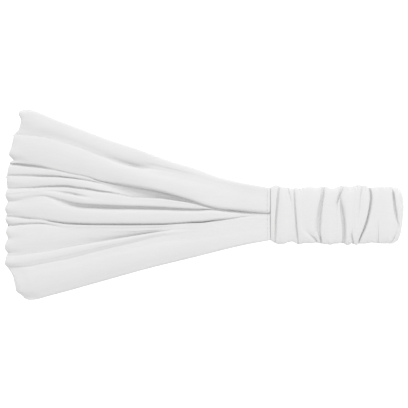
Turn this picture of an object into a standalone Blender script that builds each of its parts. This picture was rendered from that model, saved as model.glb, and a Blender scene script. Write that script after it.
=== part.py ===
"""Sports headband, a closed loop that lies folded flat.

A wide panel of two jersey plies, pleated into a fan, is sewn to a short gathered casing that
holds a flat elastic. +X runs from the panel's front fold to the casing's back fold, +Y across
the panel, and +Z up from the surface the band lies on. The origin is the centre of the
footprint. The upper layer is the half of the loop that lies on top.

Every piece follows a path in the XZ plane round the folded loop. A point of a piece is given by
its station on that path, its Y, and its distance out from the path: positive is the loop's
outside, and negative is the side that meets the head.
"""

import math
from collections import namedtuple

import bmesh
import bpy

MM = 0.001

# Overall sizes
FOLDED_LENGTH = 240.0 * MM
PANEL_LENGTH = 160.4 * MM          # front fold to join seam
PANEL_WIDTH = 114.0 * MM           # at the front fold
LOOP_SLIT = 4.8 * MM               # between the casing's two layers

# Panel
PLY = 1.2 * MM                     # one ply with its gathers
SEAM_WIDTH = 31.2 * MM             # the panel gathered into the join
SEAM_OFFSET = -5.7 * MM            # the join's centre, across the panel
NECK_LENGTH = 25.0 * MM            # the slender stretch next to the join
NECK_RISE = 4.1 * MM               # how far the upper edge climbs along the neck
NECK_DROP = 5.1 * MM               # how far the lower edge falls along the neck
FRONT_SWEEP_UPPER = 9.5 * MM       # how far the front fold runs back at the upper edge
FRONT_SWEEP_LOWER = 15.5 * MM      # and at the lower corner
LOWER_CORNER_SHARE = 0.5           # share of the half width that the lower corner takes
SWEEP_POWER = 1.6                  # how fast the front fold turns back towards an edge
PLEAT_HEIGHT = 1.0 * MM
PLEAT_SLOPE = 0.12                 # height of a narrow pleat over its width
ALLOWANCE = 7.0 * MM               # seam allowance, turned back inside the loop

# Casing and elastic
WEBBING_WIDTH = 29.0 * MM
WEBBING_THICKNESS = 1.2 * MM
CASING_WALL = 1.0 * MM
CASING_OFFSET = -6.2 * MM          # the casing's centre, across the panel
CASING_CHAMFER = 0.9 * MM
GATHER_COUNT = 6                   # gathers along each layer of the casing
GATHER_DEPTH = 0.5 * MM
GATHER_INSET = 0.8 * MM            # how far a gather draws the casing's edges in

# Thread
THREAD = 0.5 * MM                  # diameter
TOPSTITCH_DISTANCE = 2.0 * MM      # from the join seam
STITCH_LENGTH = 2.8 * MM
OVERLOCK_PITCH = 2.6 * MM
STITCH_RIPPLE = 0.08 * MM

CLEARANCE = 0.3 * MM               # between neighbouring pieces
WALL_STEP = 0.06 * MM              # run of the steep walls of a groove

# The pleats' creases, lower edge first: where each leaves the join, as a share of the join's
# half width, and where it meets the front fold, as a share of the panel's half width. The
# columns are those of the pleat below the crease.
Crease = namedtuple("Crease", "at_join at_front columns")
CREASES = (
    Crease(-0.10, -0.54, 4),
    Crease(-0.02, -0.14, 3),
    Crease(0.03, 0.17, 2),
    Crease(0.08, 0.45, 2),
    Crease(0.70, 0.75, 3),
)
UPPER_COLUMNS = 2

SEAM_TURN_ANGLES = (-90.0, -45.0, 0.0, 45.0, 90.0)
FRONT_FOLD_ANGLES = (90, 120, 150, 180, 210, 240, 270)
BACK_FOLD_ANGLES = (90, 60, 30, 0, -30, -60, -90)

# Sizes that follow
STACK = 2 * PLY + CLEARANCE
SIDE_ROOM = THREAD + 2 * CLEARANCE
CASING_WIDTH = WEBBING_WIDTH + 2 * (SIDE_ROOM + CASING_WALL)
CASING_THICKNESS = WEBBING_THICKNESS + 2 * (CLEARANCE + CASING_WALL)
FLAT_HEIGHT = 2 * CASING_THICKNESS + LOOP_SLIT
MIDDLE_Z = FLAT_HEIGHT / 2

FRONT_X = -FOLDED_LENGTH / 2
BACK_X = FOLDED_LENGTH / 2
JOIN_X = FRONT_X + PANEL_LENGTH
PANEL_END_X = JOIN_X - THREAD / 2 - CLEARANCE
CASING_END_X = JOIN_X + THREAD / 2 + CLEARANCE

PANEL_HALF_RISE = MIDDLE_Z - STACK / 2       # from the loop's middle to a panel layer's path
TURN_RADIUS = (STACK + CLEARANCE) / 2        # path radius where the allowance turns back
TURN_OUTSIDE = TURN_RADIUS + STACK / 2
TURN_X = PANEL_END_X - TURN_OUTSIDE
FOLD_X = FRONT_X + PLEAT_HEIGHT + STACK / 2 + PANEL_HALF_RISE
ALLOWANCE_END_X = PANEL_END_X - ALLOWANCE
PANEL_SPAN = TURN_X - FOLD_X

CASING_HALF_RISE = MIDDLE_Z - CASING_THICKNESS / 2
BACK_FOLD_X = BACK_X - CASING_THICKNESS / 2 - CASING_HALF_RISE

GROOVE_DEPTH = THREAD + CLEARANCE
GROOVE_HALF_WIDTH = THREAD / 2 + CLEARANCE
THREAD_RADIUS = THREAD / 2

JERSEY = (0.86, 0.87, 0.88, 1.0)
LINING = (0.84, 0.85, 0.86, 1.0)
ELASTIC = (0.80, 0.80, 0.79, 1.0)
STITCHING = (0.90, 0.91, 0.92, 1.0)

Station = namedtuple("Station", "x z out_x out_z spread relief grooved")


def clear_scene():
    for obj in list(bpy.data.objects):
        bpy.data.objects.remove(obj, do_unlink=True)


def cloth_material(name, colour, roughness):
    """A plain woven or knitted finish."""
    material = bpy.data.materials.new(name)
    material.use_nodes = True
    shader = material.node_tree.nodes["Principled BSDF"]
    shader.inputs["Base Color"].default_value = colour
    shader.inputs["Roughness"].default_value = roughness
    shader.inputs["Metallic"].default_value = 0.0
    return material


def clamp(value, low, high):
    return max(low, min(high, value))


# The path round the loop


def arc_stations(centre, radius, angles, spread, relief=None, groove_angles=()):
    """Stations on an arc, each facing away from its centre, at angles in degrees."""
    stations = []
    for angle in angles:
        out_x = math.cos(math.radians(angle))
        out_z = math.sin(math.radians(angle))
        stations.append(
            Station(
                centre[0] + radius * out_x,
                centre[1] + radius * out_z,
                out_x,
                out_z,
                spread,
                relief(angle) if relief else 0.0,
                angle in groove_angles,
            )
        )
    return stations


def seam_turn(centre_z, side):
    """The tight turn from a panel layer to its allowance, with the topstitch's groove."""
    stitch = side * topstitch_angle()
    half = math.degrees(GROOVE_HALF_WIDTH / (TURN_OUTSIDE - THREAD_RADIUS))
    step = math.degrees(WALL_STEP / TURN_OUTSIDE)
    floor = (stitch - half, stitch + half)
    walls = (floor[0] - step, floor[1] + step)
    plain = [a for a in SEAM_TURN_ANGLES if not walls[0] - 8 < a < walls[1] + 8]
    angles = sorted([*plain, *floor, *walls])
    return arc_stations((TURN_X, centre_z), TURN_RADIUS, angles, 0.0, None, floor)


def topstitch_angle():
    """The angle round the seam turn at which the topstitch lies that far from the join."""
    run = JOIN_X - TOPSTITCH_DISTANCE - TURN_X
    return math.degrees(math.acos(clamp(run / TURN_OUTSIDE, -1.0, 1.0)))


def fold_relief(angle):
    """Pleats keep their height over the front fold and fade out below it."""
    return 1.0 if angle <= 180 else math.cos(math.radians(angle - 180)) ** 2


def panel_path():
    """Allowance, upper layer, front fold, lower layer, allowance."""
    upper_z = MIDDLE_Z + PANEL_HALF_RISE
    lower_z = MIDDLE_Z - PANEL_HALF_RISE
    neck_x = TURN_X - NECK_LENGTH
    below = upper_z - 2 * TURN_RADIUS
    above = lower_z + 2 * TURN_RADIUS
    neck_spread = NECK_LENGTH / PANEL_SPAN
    path = [Station(ALLOWANCE_END_X, below, 0.0, -1.0, 0.0, 0.0, False)]
    path += seam_turn(upper_z - TURN_RADIUS, 1)
    path.append(Station((TURN_X + neck_x) / 2, upper_z, 0.0, 1.0, neck_spread / 2, 0.6, False))
    for share in (0.0, 0.33, 0.67):
        x = neck_x + (FOLD_X - neck_x) * share
        path.append(Station(x, upper_z, 0.0, 1.0, (TURN_X - x) / PANEL_SPAN, 1.0, False))
    front = (FOLD_X, MIDDLE_Z)
    path += arc_stations(front, PANEL_HALF_RISE, FRONT_FOLD_ANGLES, 1.0, fold_relief)
    path.append(Station(neck_x, lower_z, 0.0, -1.0, neck_spread, 0.0, False))
    path += seam_turn(lower_z + TURN_RADIUS, -1)
    path.append(Station(ALLOWANCE_END_X, above, 0.0, 1.0, 0.0, 0.0, False))
    return path


def casing_path():
    """Upper layer, back fold, lower layer, with the distance to the fold's outermost point."""
    straight = BACK_FOLD_X - CASING_END_X
    quarter = math.pi / 2 * CASING_HALF_RISE
    pitch = (straight + quarter) / (GATHER_COUNT - 0.5)
    steps = 4 * GATHER_COUNT
    upper, lower = [], []
    for index in range(steps):
        distance = straight + quarter - index * pitch / 4
        if distance <= quarter + pitch / 8:
            break
        x = BACK_FOLD_X - (distance - quarter)
        depth = gather(distance, pitch)
        upper.append((Station(x, MIDDLE_Z + CASING_HALF_RISE, 0.0, 1.0, 0.0, 0.0, False), depth))
        lower.append((Station(x, MIDDLE_Z - CASING_HALF_RISE, 0.0, -1.0, 0.0, 0.0, False), depth))
    fold = []
    for angle in BACK_FOLD_ANGLES:
        station = arc_stations((BACK_FOLD_X, MIDDLE_Z), CASING_HALF_RISE, (angle,), 0.0)[0]
        distance = math.radians(abs(angle)) * CASING_HALF_RISE
        fold.append((station, gather(distance, pitch)))
    return upper + fold + lower[::-1]


def gather(distance, pitch):
    """Depth of the gathers, 0 on a crest and 1 in a valley; the back fold is a crest."""
    return (1 - math.cos(2 * math.pi * distance / pitch)) / 2


# The panel's outline and pleats


def panel_edges(spread):
    """Y of the panel's lower and upper edges, spread 0 at the join and 1 at the front fold."""
    neck = NECK_LENGTH / PANEL_SPAN
    low = SEAM_OFFSET - SEAM_WIDTH / 2
    high = SEAM_OFFSET + SEAM_WIDTH / 2
    if spread <= neck:
        share = spread / neck
        return low - NECK_DROP * share, high + NECK_RISE * share
    share = (spread - neck) / (1 - neck)
    low -= NECK_DROP
    high += NECK_RISE
    return (
        low + (-PANEL_WIDTH / 2 - low) * share,
        high + (PANEL_WIDTH / 2 - high) * share,
    )


def front_sweep(across):
    """Share of the panel's length left at a place across it, -1 lower edge, 1 upper edge."""
    if across > 0:
        return 1 - FRONT_SWEEP_UPPER / PANEL_SPAN * across**SWEEP_POWER
    corner = clamp((-across - (1 - LOWER_CORNER_SHARE)) / LOWER_CORNER_SHARE, 0.0, 1.0)
    return 1 - FRONT_SWEEP_LOWER / PANEL_SPAN * corner**SWEEP_POWER


def panel_columns(station):
    """(Y, pleat height) of each column across the panel, lower edge first."""
    low, high = panel_edges(station.spread)
    lines = [low]
    for crease in CREASES:
        start = SEAM_OFFSET + crease.at_join * SEAM_WIDTH / 2
        lines.append(start + (crease.at_front * PANEL_WIDTH / 2 - start) * station.spread)
    lines.append(high)
    counts = [crease.columns for crease in CREASES] + [UPPER_COLUMNS]
    columns = [(low, 0.0)]
    for left, right, count in zip(lines, lines[1:], counts):
        height = min(PLEAT_HEIGHT, PLEAT_SLOPE * (right - left)) * station.relief
        for index in range(1, count + 1):
            share = index / count
            columns.append((left + (right - left) * share, height * math.sin(math.pi * share)))
    return columns


def sweep_at(station, y):
    """The front sweep at a Y, straight between columns so that the plies stay parallel."""
    columns = [column_y for column_y, _ in panel_columns(station)]
    low, high = columns[0], columns[-1]
    sweeps = [front_sweep((2 * column - low - high) / (high - low)) for column in columns]
    index = sum(y > column for column in columns[1:-1])
    share = (y - columns[index]) / (columns[index + 1] - columns[index])
    return sweeps[index] + (sweeps[index + 1] - sweeps[index]) * share


def panel_point(station, y, out):
    """A point of the panel, drawn back where the front fold runs back."""
    x = station.x + station.out_x * out
    z = station.z + station.out_z * out
    if x < TURN_X:
        x = TURN_X + (x - TURN_X) * sweep_at(station, y)
    return (x, y, z)


# Building blocks


def add_object(name, rings, material, inner_rings=None):
    """One closed body from rings of points; with inner rings it is a tube open at both ends."""
    mesh = bpy.data.meshes.new(name)
    shape = bmesh.new()
    outer = [[shape.verts.new(point) for point in ring] for ring in rings]
    bridge(shape, outer)
    if inner_rings:
        inner = [[shape.verts.new(point) for point in ring] for ring in inner_rings]
        bridge(shape, inner)
        bridge(shape, [outer[0], inner[0]])
        bridge(shape, [outer[-1], inner[-1]])
    else:
        shape.faces.new(outer[0])
        shape.faces.new(outer[-1])
    bmesh.ops.recalc_face_normals(shape, faces=shape.faces)
    shape.to_mesh(mesh)
    shape.free()
    mesh.materials.append(material)
    mesh.shade_smooth()
    mesh.set_sharp_from_angle(angle=math.radians(35))
    obj = bpy.data.objects.new(name, mesh)
    bpy.context.scene.collection.objects.link(obj)
    return obj


def bridge(shape, rings):
    for first, second in zip(rings, rings[1:]):
        for index in range(len(first)):
            after = (index + 1) % len(first)
            shape.faces.new((first[index], first[after], second[after], second[index]))


def add_thread(name, points, material):
    """A run of sewing thread through the given points."""
    curve = bpy.data.curves.new(name, "CURVE")
    curve.dimensions = "3D"
    curve.bevel_depth = THREAD_RADIUS
    curve.bevel_resolution = 1
    curve.use_fill_caps = True
    spline = curve.splines.new("POLY")
    spline.points.add(len(points) - 1)
    for spline_point, point in zip(spline.points, points):
        spline_point.co = (*point, 1.0)
    curve.materials.append(material)
    obj = bpy.data.objects.new(name, curve)
    bpy.context.scene.collection.objects.link(obj)
    return obj


def hang_on(parent, *children):
    """Parents pieces built in world places to an empty, which keeps them where they are."""
    for child in children:
        child.parent = parent
        child.location = [-value for value in parent.location]


# The pieces


def face_panel(path, material):
    """The outer ply: pleats on its outside, and a groove where each topstitch pulls in."""
    rings = []
    for station in path:
        columns = panel_columns(station)
        surface = STACK / 2 - (GROOVE_DEPTH if station.grooved else 0.0)
        ring = [panel_point(station, y, surface + height) for y, height in columns]
        ring += [panel_point(station, y, CLEARANCE / 2) for y, _ in reversed(columns)]
        rings.append(ring)
    return add_object("face_panel", rings, material)


def lining_panel(path, material):
    """The inner ply, rebated along both edges for the seams that join it to the face."""
    rebate = 2 * GROOVE_HALF_WIDTH
    outside = -CLEARANCE / 2
    sunk = outside - GROOVE_DEPTH
    inside = -STACK / 2
    rings = []
    for station in path:
        columns = [y for y, _ in panel_columns(station)]
        low, high = columns[0], columns[-1]
        bank = rebate + WALL_STEP
        top = [(low, sunk), (low + rebate, sunk), (low + bank, outside)]
        top += [(y, outside) for y in columns[1:-1]]
        top += [(high - bank, outside), (high - rebate, sunk), (high, sunk)]
        bottom = [(y, inside) for y in reversed(columns)]
        rings.append([panel_point(station, y, out) for y, out in top + bottom])
    return add_object("lining_panel", rings, material)


def edge_seam(name, path, upper, material):
    """The seam between the two plies, just inside one long edge of the panel."""
    inset = GROOVE_HALF_WIDTH
    out = CLEARANCE / 2 - CLEARANCE - THREAD_RADIUS
    points = []
    for station in path:
        low, high = panel_edges(station.spread)
        y = high - inset if upper else low + inset
        points.append(panel_point(station, y, out))
    return add_thread(name, points, material)


def casing_section(width, thickness, chamfer):
    """(Y, out) round a flat tube with chamfered corners."""
    half_y, half_out = width / 2, thickness / 2
    corners = []
    for sign_y, sign_out, first_along_y in ((1, 1, 0), (-1, 1, 1), (-1, -1, 0), (1, -1, 1)):
        side = (sign_y * half_y, sign_out * (half_out - chamfer))
        cap = (sign_y * (half_y - chamfer), sign_out * half_out)
        corners += [cap, side] if first_along_y else [side, cap]
    return [(CASING_OFFSET + y, out) for y, out in corners]


def sweep(path, sections):
    return [
        [(s.x + s.out_x * out, y, s.z + s.out_z * out) for y, out in section]
        for s, section in zip(path, sections)
    ]


def elastic_casing(path, material):
    """The gathered tube round the elastic, open at the join."""
    stations = [station for station, _ in path]
    outer = [
        casing_section(
            CASING_WIDTH - 2 * GATHER_INSET * depth,
            CASING_THICKNESS - 2 * GATHER_DEPTH * depth,
            CASING_CHAMFER,
        )
        for _, depth in path
    ]
    bore = casing_section(
        CASING_WIDTH - 2 * CASING_WALL, CASING_THICKNESS - 2 * CASING_WALL, CLEARANCE
    )
    inner_rings = sweep(stations, [bore] * len(stations))
    return add_object("elastic_casing", sweep(stations, outer), material, inner_rings)


def elastic_webbing(path, material):
    stations = [station for station, _ in path]
    half_y, half_out = WEBBING_WIDTH / 2, WEBBING_THICKNESS / 2
    section = [(half_y, half_out), (-half_y, half_out), (-half_y, -half_out), (half_y, -half_out)]
    section = [(CASING_OFFSET + y, out) for y, out in section]
    return add_object("elastic_webbing", sweep(stations, [section] * len(stations)), material)


def casing_seam(path, material):
    """The seam that closes the casing's tube, inside it at its lower edge."""
    y = CASING_OFFSET - WEBBING_WIDTH / 2 - CLEARANCE - THREAD_RADIUS
    return add_thread("casing_seam", [(s.x, y, s.z) for s, _ in path], material)


def join_seam(name, side, material):
    """The seam between the panel's turned end and the casing's mouth."""
    z = MIDDLE_Z + side * PANEL_HALF_RISE
    low, high = panel_edges(0.0)
    ends = (low + CLEARANCE, high - CLEARANCE)
    return add_thread(name, [(JOIN_X, y, z) for y in ends], material)


def topstitch(name, side, material):
    """The visible stitches, sunk in the face ply beside the join."""
    angle = math.radians(side * topstitch_angle())
    centre_z = MIDDLE_Z + side * (PANEL_HALF_RISE - TURN_RADIUS)
    low, high = panel_edges(0.0)
    low += STITCH_LENGTH / 4
    high -= STITCH_LENGTH / 4
    count = 2 * round((high - low) / STITCH_LENGTH)
    points = []
    for index in range(count + 1):
        sink = STITCH_RIPPLE if index % 2 else 0.0
        out = TURN_OUTSIDE - THREAD_RADIUS - sink
        y = low + (high - low) * index / count
        points.append((TURN_X + out * math.cos(angle), y, centre_z + out * math.sin(angle)))
    return add_thread(name, points, material)


def overlock(name, side, material):
    """The thread that zigzags over the raw end of an allowance."""
    x = ALLOWANCE_END_X - CLEARANCE - THREAD_RADIUS
    z = MIDDLE_Z + side * (PANEL_HALF_RISE - 2 * TURN_RADIUS)
    reach = STACK / 2 - THREAD_RADIUS
    low, high = panel_edges(0.0)
    count = 2 * round((high - low - THREAD) / OVERLOCK_PITCH)
    points = []
    for index in range(count + 1):
        y = low + THREAD_RADIUS + (high - low - THREAD) * index / count
        points.append((x, y, z + (reach if index % 2 else -reach)))
    return add_thread(name, points, material)


def main():
    clear_scene()
    jersey = cloth_material("jersey", JERSEY, 0.9)
    lining = cloth_material("lining_jersey", LINING, 0.9)
    elastic = cloth_material("elastic_webbing", ELASTIC, 0.7)
    stitching = cloth_material("sewing_thread", STITCHING, 0.6)

    panel = panel_path()
    face_panel(panel, jersey)
    lining_panel(panel, lining)
    edge_seam("upper_edge_seam", panel, True, stitching)
    edge_seam("lower_edge_seam", panel, False, stitching)
    for side, layer in ((1, "upper"), (-1, "lower")):
        join_seam(f"join_seam_{layer}", side, stitching)
        topstitch(f"topstitch_{layer}", side, stitching)
        overlock(f"overlock_{layer}", side, stitching)

    stretch_axis = bpy.data.objects.new("stretch_axis", None)
    stretch_axis.location = (JOIN_X, CASING_OFFSET, MIDDLE_Z)
    bpy.context.scene.collection.objects.link(stretch_axis)
    casing = casing_path()
    hang_on(
        stretch_axis,
        elastic_casing(casing, jersey),
        elastic_webbing(casing, elastic),
        casing_seam(casing, stitching),
    )


main()
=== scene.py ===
import math

import bpy
import numpy as np
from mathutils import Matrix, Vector
from mathutils.bvhtree import BVHTree


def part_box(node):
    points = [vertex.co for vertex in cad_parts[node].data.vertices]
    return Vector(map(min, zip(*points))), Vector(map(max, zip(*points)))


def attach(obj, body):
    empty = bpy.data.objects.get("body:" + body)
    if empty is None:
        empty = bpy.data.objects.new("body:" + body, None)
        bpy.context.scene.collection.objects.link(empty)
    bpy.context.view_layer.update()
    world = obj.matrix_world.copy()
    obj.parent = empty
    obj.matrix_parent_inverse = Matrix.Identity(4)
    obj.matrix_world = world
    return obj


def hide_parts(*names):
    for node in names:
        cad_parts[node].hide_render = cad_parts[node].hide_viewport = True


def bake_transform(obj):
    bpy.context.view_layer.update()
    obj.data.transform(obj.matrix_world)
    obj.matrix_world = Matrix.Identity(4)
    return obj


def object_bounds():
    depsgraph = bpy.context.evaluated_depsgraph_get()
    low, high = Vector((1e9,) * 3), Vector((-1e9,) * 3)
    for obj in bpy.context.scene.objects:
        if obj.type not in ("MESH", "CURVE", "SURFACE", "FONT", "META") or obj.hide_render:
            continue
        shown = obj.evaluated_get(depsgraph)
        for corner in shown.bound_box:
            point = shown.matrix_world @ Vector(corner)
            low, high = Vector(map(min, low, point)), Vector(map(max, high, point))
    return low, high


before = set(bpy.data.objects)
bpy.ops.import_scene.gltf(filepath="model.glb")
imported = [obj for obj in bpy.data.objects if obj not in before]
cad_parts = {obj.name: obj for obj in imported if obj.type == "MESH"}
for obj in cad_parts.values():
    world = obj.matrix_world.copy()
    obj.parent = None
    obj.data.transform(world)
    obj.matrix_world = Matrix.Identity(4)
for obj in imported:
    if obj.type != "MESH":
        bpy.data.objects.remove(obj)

# The looks of a sports headband that lies folded flat, seen from straight above.
#
# The cloth is lofted through rails. A rail runs along the panel, or across the casing, and each
# crease has eight of them: down the shoulder of one pleat, round its lip, into the groove and up
# the shoulder of the next. Sizes below are in millimetres on the band as drawn, and the frame's
# own boxes place and scale them.

MM = 0.001
cad_low, cad_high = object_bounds()
face_low, face_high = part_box("face_panel")
_, casing_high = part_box("elastic_casing")
join_low, join_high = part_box("join_seam_upper")

FRONT = face_low.x / MM
JOIN = (join_low.x + join_high.x) / 2 / MM
BACK = casing_high.x / MM
HALF_WIDTH = face_high.y / MM
HEIGHT = casing_high.z / MM

# The band as drawn, which the frame's sizes stretch.
DRAWN_FRONT, DRAWN_JOIN, DRAWN_BACK, DRAWN_HALF_WIDTH = -120.0, 40.4, 120.0, 57.0
ACROSS = HALF_WIDTH / DRAWN_HALF_WIDTH

CLOTH = 0.6                # thickness of one ply of the face and the casing
LINING = 0.5               # thickness of the lining
ROLL = 4.6                 # how far the front fold stands out from where it starts to turn
MIDDLE = HEIGHT / 2        # the slit between the near and the far layer
FACE_ALLOWANCE_Z = 8.0     # undersides of the near layer's plies where they turn back at the join
LINING_ALLOWANCE_Z = 9.1
LINING_JOIN_Z = 10.15      # height of the lining's near layer where it reaches the join
CASING_ALLOWANCE_Z = 7.35
TURN_X = 39.2              # where the face turns under at the join
ALLOWANCE_END = 33.0


# ---- numbers and curves


def flow(points, x, column=1):
    """A smooth curve through (x, value, ...) points that never overshoots them."""
    table = np.array(sorted(points), float)
    xs, ys = table[:, 0], table[:, column]
    x = np.clip(np.asarray(x, float), xs[0], xs[-1])
    if len(xs) == 1:
        return np.full_like(x, ys[0])
    steps = np.diff(xs)
    slopes = np.diff(ys) / steps
    tangents = np.zeros_like(ys)
    if len(xs) > 2:
        product = slopes[:-1] * slopes[1:]
        total = slopes[:-1] + slopes[1:]
        mean = np.where(product > 0, 2 * product / np.where(total == 0, 1, total), 0)
        tangents[1:-1] = mean
    tangents[0], tangents[-1] = slopes[0], slopes[-1]
    i = np.clip(np.searchsorted(xs, x, side="right") - 1, 0, len(xs) - 2)
    t = (x - xs[i]) / steps[i]
    return (
        ys[i] * (1 + 2 * t) * (1 - t) ** 2
        + tangents[i] * steps[i] * t * (1 - t) ** 2
        + ys[i + 1] * t * t * (3 - 2 * t)
        - tangents[i + 1] * steps[i] * t * t * (1 - t)
    )


def ease(low, high, x):
    t = np.clip((np.asarray(x, float) - low) / (high - low), 0, 1)
    return t * t * (3 - 2 * t)


def mix(a, b, share):
    return a + (b - a) * share


def spline_weights(rails, per_span):
    """Weights of a cubic B-spline that starts and ends on its first and last rails."""
    index = np.concatenate([[0, 0], np.arange(rails), [rails - 1, rails - 1]])
    spans = len(index) - 3
    rows = []
    for span in range(spans):
        last = span == spans - 1
        for step in range(per_span + last):
            t = step / per_span
            basis = (
                (1 - t) ** 3 / 6,
                (3 * t**3 - 6 * t * t + 4) / 6,
                (-3 * t**3 + 3 * t * t + 3 * t + 1) / 6,
                t**3 / 6,
            )
            row = np.zeros(rails)
            for offset, weight in enumerate(basis):
                row[index[span + offset]] += weight
            rows.append(row)
    return np.array(rows)


def ripple(x, y, seed, scale):
    """Gentle unevenness: a few crossed waves with fixed, unrelated directions."""
    total = np.zeros(np.broadcast(x, y).shape)
    random = np.random.default_rng(seed)
    for octave in range(5):
        angle, phase = random.uniform(0, math.pi), random.uniform(0, 2 * math.pi)
        pitch = scale * random.uniform(0.6, 1.5)
        total = total + np.sin(
            (x * math.cos(angle) + y * math.sin(angle)) * 2 * math.pi / pitch + phase
        )
    return total / 5


# ---- the panel as drawn
#
# Each crease is a list of (x, y, level above, level below, depth, lap, gap). y is the lip of the
# pleat that lies over. A level is the height of the pleat above or below the crease, depth is the
# groove's own, lap is how far the pleat above lies over the one below, or under it where lap is
# negative, and gap is the open width of the groove beyond the lip. A row that stops after its
# levels has no groove, and a single level serves both sides.

UPPER_EDGE = (
    (-112, 57.6), (-106, 57.4), (-98, 55.1), (-90, 51.6), (-76, 46.4), (-60, 40.2),
    (-40, 33.6), (-20, 26.3), (-5, 21.8), (10, 16.4), (22, 13.5), (40.4, 10),
)
LOWER_EDGE = (
    (-112, -57.6), (-105, -57.5), (-90, -54.1), (-62, -46.4), (-34, -38.6), (-10, -32.7),
    (28, -23.5), (40.4, -21.3),
)

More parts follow.
